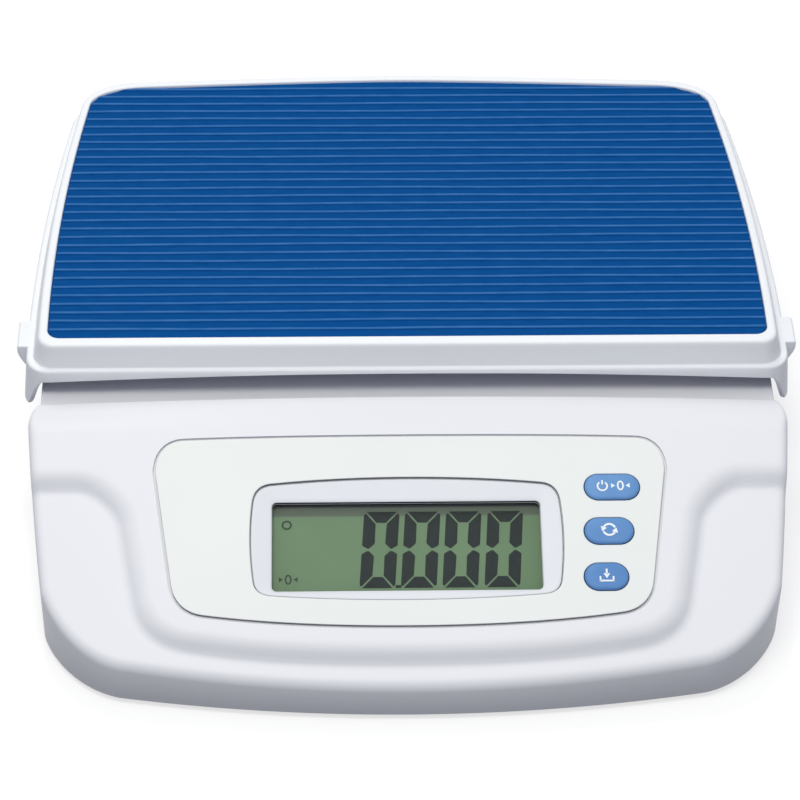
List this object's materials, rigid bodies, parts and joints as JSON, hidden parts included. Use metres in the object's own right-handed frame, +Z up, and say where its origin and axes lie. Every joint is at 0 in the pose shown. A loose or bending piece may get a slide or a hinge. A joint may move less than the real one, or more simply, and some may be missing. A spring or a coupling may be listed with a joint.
{
  "type": "digital baby weighing scale",
  "caption": "Low bench scale for babies: sloping console with display and push buttons in front, ribbed weighing platform with side ears behind.",
  "frame": {"origin": "on the table, below the middle of the scale's outline", "axes": "+Z up, front of the scale (console) towards -Y, +X to the right of someone reading the display"},
  "size_m": [0.3308, 0.3158, 0.0866],
  "materials": {
    "white_plastic": "satin moulded, faintly pebbled",
    "overlay": "smooth printed sheet",
    "mat_rubber": "matt ribbed",
    "button_rubber": "satin",
    "dark_rubber": "matt",
    "window": "clear and smooth",
    "display": "grey-green liquid crystal display",
    "board": "solder resist",
    "black_plastic": "satin",
    "aluminium": "milled",
    "steel": "zinc plated",
    "battery_sleeve": "plain sleeve",
    "cable_sheath": "matt"
  },
  "bodies": {
    "base": {"base_housing": "white_plastic", "bottom_cover": "white_plastic", "foot_front_left": "dark_rubber", "foot_front_right": "dark_rubber", "foot_rear_left": "dark_rubber", "foot_rear_right": "dark_rubber", "cover_screw_1": "steel", "cover_screw_2": "steel", "cover_screw_3": "steel", "cover_screw_4": "steel", "base_plate": "steel", "base_plate_screw_1": "steel", "base_plate_screw_2": "steel", "base_plate_screw_3": "steel", "base_plate_screw_4": "steel", "lower_spacer": "aluminium", "load_cell": "aluminium", "load_cell_bolt_lower_1": "steel", "load_cell_bolt_lower_2": "steel", "overload_stop_1": "dark_rubber", "overload_stop_2": "dark_rubber", "overload_stop_3": "dark_rubber", "overload_stop_4": "dark_rubber", "battery_1": "battery_sleeve", "battery_2": "battery_sleeve", "battery_3": "battery_sleeve", "battery_4": "battery_sleeve", "battery_contacts_front": "steel", "battery_contacts_rear": "steel", "dc_jack": "black_plastic", "overlay_plate": "overlay", "display_bezel": "overlay", "display_window": "window", "display_glass": "display", "display_holder": "white_plastic", "contact_strip_upper": "dark_rubber", "contact_strip_lower": "dark_rubber", "main_board": "board", "board_screw_1": "steel", "board_screw_2": "steel", "buzzer": "black_plastic", "switch_power": "black_plastic", "switch_mode": "black_plastic", "switch_memory": "black_plastic", "load_cell_cable": "cable_sheath", "battery_lead": "cable_sheath"},
    "platform": {"platform_shell": "white_plastic", "ribbed_mat": "mat_rubber", "platform_frame": "aluminium", "upper_spacer": "aluminium", "load_cell_bolt_upper_1": "steel", "load_cell_bolt_upper_2": "steel", "frame_screw_1": "steel", "frame_screw_2": "steel", "frame_screw_3": "steel", "frame_screw_4": "steel"},
    "button_power": {"button_power": "button_rubber"},
    "button_mode": {"button_mode": "button_rubber"},
    "button_memory": {"button_memory": "button_rubber"},
    "battery_door": {"battery_door": "white_plastic"}
  },
  "joints": [
    {"name": "platform_press", "type": "slide", "parent": "base", "child": "platform", "axis": [0, 0, -1], "range_m": [0, 0.00025], "stiffness_N_per_m": 300000},
    {"name": "button_power_press", "type": "slide", "parent": "base", "child": "button_power", "axis": [0, 0.2957, -0.9553], "range_m": [0, 0.0009], "stiffness_N_per_m": 250},
    {"name": "button_mode_press", "type": "slide", "parent": "base", "child": "button_mode", "axis": [0, 0.2957, -0.9553], "range_m": [0, 0.0009], "stiffness_N_per_m": 250},
    {"name": "button_memory_press", "type": "slide", "parent": "base", "child": "button_memory", "axis": [0, 0.2957, -0.9553], "range_m": [0, 0.0009], "stiffness_N_per_m": 250},
    {"name": "battery_door_slide", "type": "slide", "parent": "base", "child": "battery_door", "axis": [0, -1, 0], "range_m": [0, 0.006]}
  ]
}
